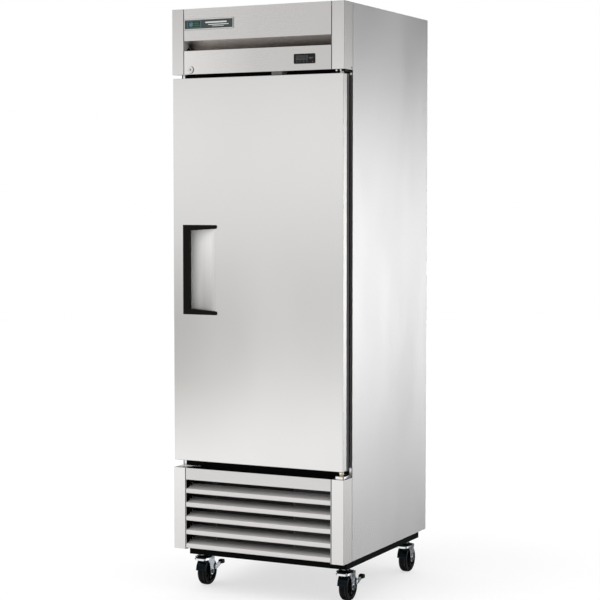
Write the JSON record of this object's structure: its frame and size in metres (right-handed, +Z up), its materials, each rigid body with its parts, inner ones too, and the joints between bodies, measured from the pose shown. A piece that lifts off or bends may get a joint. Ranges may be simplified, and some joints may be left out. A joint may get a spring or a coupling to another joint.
{
  "type": "reach in refrigerator",
  "caption": "Upright commercial refrigerator with a self-closing hinged door, recessed handle, louvered base and swivel casters.",
  "frame": {"origin": "on the floor, under the middle of the overall box", "axes": "+Z up, the door faces -Y, the door hinges on the +X side"},
  "size_m": [0.686, 0.752, 2.118],
  "materials": {
    "brushed_stainless": "satin",
    "galvanised_sheet": "matte",
    "insulation_foam": "matte",
    "liner_sheet": "satin",
    "white_liner": "satin",
    "face_plastic": "matte",
    "gasket_rubber": "matte",
    "black_plastic": "satin",
    "button_grey": "matte",
    "badge_metal": "satin",
    "bright_metal": "gloss",
    "brass": "satin",
    "grey_plastic": "satin",
    "black_frame": "satin",
    "coil_fins": "satin",
    "copper": "satin",
    "shelf_wire": "gloss",
    "zinc_plate": "satin",
    "caster_tread": "matte"
  },
  "bodies": {
    "cabinet": {"badge_plate": "badge_metal", "base_deck": "galvanised_sheet", "base_frame": "black_frame", "cabinet_screws": "bright_metal", "caster_stems": "zinc_plate", "compressor": "black_frame", "condensate_pan": "galvanised_sheet", "condenser_coil": "coil_fins", "controller_housing": "black_plastic", "cord_gland": "black_plastic", "corner_posts": "brushed_stainless", "door_switch": "grey_plastic", "evaporator_coil": "coil_fins", "evaporator_cover": "liner_sheet", "face_frame": "face_plastic", "fan_motors": "galvanised_sheet", "foam_insulation": "insulation_foam", "header_panel": "brushed_stainless", "hinge_brackets": "bright_metal", "inner_liner": "liner_sheet", "interior_light": "grey_plastic", "left_side_panel": "brushed_stainless", "lock_barrel": "bright_metal", "louver_panel": "brushed_stainless", "louver_slats": "brushed_stainless", "rear_grille": "galvanised_sheet", "rear_panel": "galvanised_sheet", "refrigerant_lines": "copper", "right_side_panel": "brushed_stainless", "shelf_clips": "shelf_wire", "shelf_pilasters": "galvanised_sheet", "top_panel": "brushed_stainless"},
    "door": {"door_skin": "brushed_stainless", "door_core": "insulation_foam", "door_trim": "face_plastic", "door_liner": "white_liner", "door_gasket": "gasket_rubber", "door_handle": "black_plastic", "door_hinge_bushings": "brass"},
    "lock_cylinder": {"lock_cylinder": "bright_metal"},
    "switch_plunger": {"switch_plunger": "black_plastic"},
    "evaporator_fan": {"evaporator_fan": "black_plastic"},
    "condenser_fan": {"condenser_fan": "black_plastic"},
    "shelf_lower": {"shelf_lower": "shelf_wire"},
    "shelf_middle": {"shelf_middle": "shelf_wire"},
    "shelf_upper": {"shelf_upper": "shelf_wire"},
    "controller_button_1": {"controller_button_1": "button_grey"},
    "controller_button_2": {"controller_button_2": "button_grey"},
    "controller_button_3": {"controller_button_3": "button_grey"},
    "controller_button_4": {"controller_button_4": "button_grey"},
    "brake_pedal_front_left": {"brake_pedal_front_left": "zinc_plate"},
    "brake_pedal_front_right": {"brake_pedal_front_right": "zinc_plate"},
    "caster_fork_front_left": {"caster_fork_front_left": "zinc_plate"},
    "caster_fork_front_right": {"caster_fork_front_right": "zinc_plate"},
    "caster_fork_rear_left": {"caster_fork_rear_left": "zinc_plate"},
    "caster_fork_rear_right": {"caster_fork_rear_right": "zinc_plate"},
    "caster_wheel_front_left": {"caster_wheel_front_left": "caster_tread"},
    "caster_wheel_front_right": {"caster_wheel_front_right": "caster_tread"},
    "caster_wheel_rear_left": {"caster_wheel_rear_left": "caster_tread"},
    "caster_wheel_rear_right": {"caster_wheel_rear_right": "caster_tread"}
  },
  "joints": [
    {"name": "door_hinge", "type": "hinge", "parent": "cabinet", "child": "door", "pos_m": [0.326, -0.357, 1.176], "axis": [0, 0, 1], "range_deg": [0, 110], "stiffness_Nm_per_rad": 1.5, "springref_deg": -20.05},
    {"name": "switch_travel", "type": "slide", "parent": "cabinet", "child": "switch_plunger", "axis": [0, 0, -1], "range_m": [0, 0.003]},
    {"name": "lock_turn", "type": "hinge", "parent": "cabinet", "child": "lock_cylinder", "pos_m": [-0.267, -0.36, 1.901], "axis": [0, 1, 0], "range_deg": [0, 90]},
    {"name": "evaporator_fan_spin", "type": "hinge", "parent": "cabinet", "child": "evaporator_fan", "pos_m": [0, -0.21, 1.965], "axis": [0, 1, 0], "continuous": true},
    {"name": "condenser_fan_spin", "type": "hinge", "parent": "cabinet", "child": "condenser_fan", "pos_m": [-0.06, -0.16, 0.3], "axis": [0, 1, 0], "continuous": true},
    {"name": "button_1_press", "type": "slide", "parent": "cabinet", "child": "controller_button_1", "axis": [0, 1, 0], "range_m": [0, 0.0008], "stiffness_N_per_m": 400, "springref_m": -0.0005},
    {"name": "button_2_press", "type": "slide", "parent": "cabinet", "child": "controller_button_2", "axis": [0, 1, 0], "range_m": [0, 0.0008], "stiffness_N_per_m": 400, "springref_m": -0.0005},
    {"name": "button_3_press", "type": "slide", "parent": "cabinet", "child": "controller_button_3", "axis": [0, 1, 0], "range_m": [0, 0.0008], "stiffness_N_per_m": 400, "springref_m": -0.0005},
    {"name": "button_4_press", "type": "slide", "parent": "cabinet", "child": "controller_button_4", "axis": [0, 1, 0], "range_m": [0, 0.0008], "stiffness_N_per_m": 400, "springref_m": -0.0005},
    {"name": "shelf_lower_lift", "type": "slide", "parent": "cabinet", "child": "shelf_lower", "axis": [0, 0, 1], "range_m": [0, 0.03]},
    {"name": "shelf_middle_lift", "type": "slide", "parent": "cabinet", "child": "shelf_middle", "axis": [0, 0, 1], "range_m": [0, 0.03]},
    {"name": "shelf_upper_lift", "type": "slide", "parent": "cabinet", "child": "shelf_upper", "axis": [0, 0, 1], "range_m": [0, 0.03]},
    {"name": "swivel_front_left", "type": "hinge", "parent": "cabinet", "child": "caster_fork_front_left", "pos_m": [-0.29, -0.25, 0.112], "axis": [0, 0, 1], "continuous": true},
    {"name": "roll_front_left", "type": "hinge", "parent": "caster_fork_front_left", "child": "caster_wheel_front_left", "pos_m": [-0.29, -0.223, 0.0508], "axis": [1, 0, 0], "continuous": true},
    {"name": "brake_front_left", "type": "hinge", "parent": "caster_fork_front_left", "child": "brake_pedal_front_left", "pos_m": [-0.2645, -0.205, 0.066], "axis": [-1, 0, 0], "range_deg": [0, 15]},
    {"name": "swivel_front_right", "type": "hinge", "parent": "cabinet", "child": "caster_fork_front_right", "pos_m": [0.29, -0.25, 0.112], "axis": [0, 0, 1], "continuous": true},
    {"name": "roll_front_right", "type": "hinge", "parent": "caster_fork_front_right", "child": "caster_wheel_front_right", "pos_m": [0.29, -0.223, 0.0508], "axis": [1, 0, 0], "continuous": true},
    {"name": "brake_front_right", "type": "hinge", "parent": "caster_fork_front_right", "child": "brake_pedal_front_right", "pos_m": [0.3155, -0.205, 0.066], "axis": [-1, 0, 0], "range_deg": [0, 15]},
    {"name": "swivel_rear_left", "type": "hinge", "parent": "cabinet", "child": "caster_fork_rear_left", "pos_m": [-0.29, 0.29, 0.112], "axis": [0, 0, 1], "continuous": true},
    {"name": "roll_rear_left", "type": "hinge", "parent": "caster_fork_rear_left", "child": "caster_wheel_rear_left", "pos_m": [-0.29, 0.317, 0.0508], "axis": [1, 0, 0], "continuous": true},
    {"name": "swivel_rear_right", "type": "hinge", "parent": "cabinet", "child": "caster_fork_rear_right", "pos_m": [0.29, 0.29, 0.112], "axis": [0, 0, 1], "continuous": true},
    {"name": "roll_rear_right", "type": "hinge", "parent": "caster_fork_rear_right", "child": "caster_wheel_rear_right", "pos_m": [0.29, 0.317, 0.0508], "axis": [1, 0, 0], "continuous": true}
  ],
  "couplings": [
    {"joint": "switch_travel", "follows": "door_hinge", "m_per_rad": 0.00156}
  ]
}
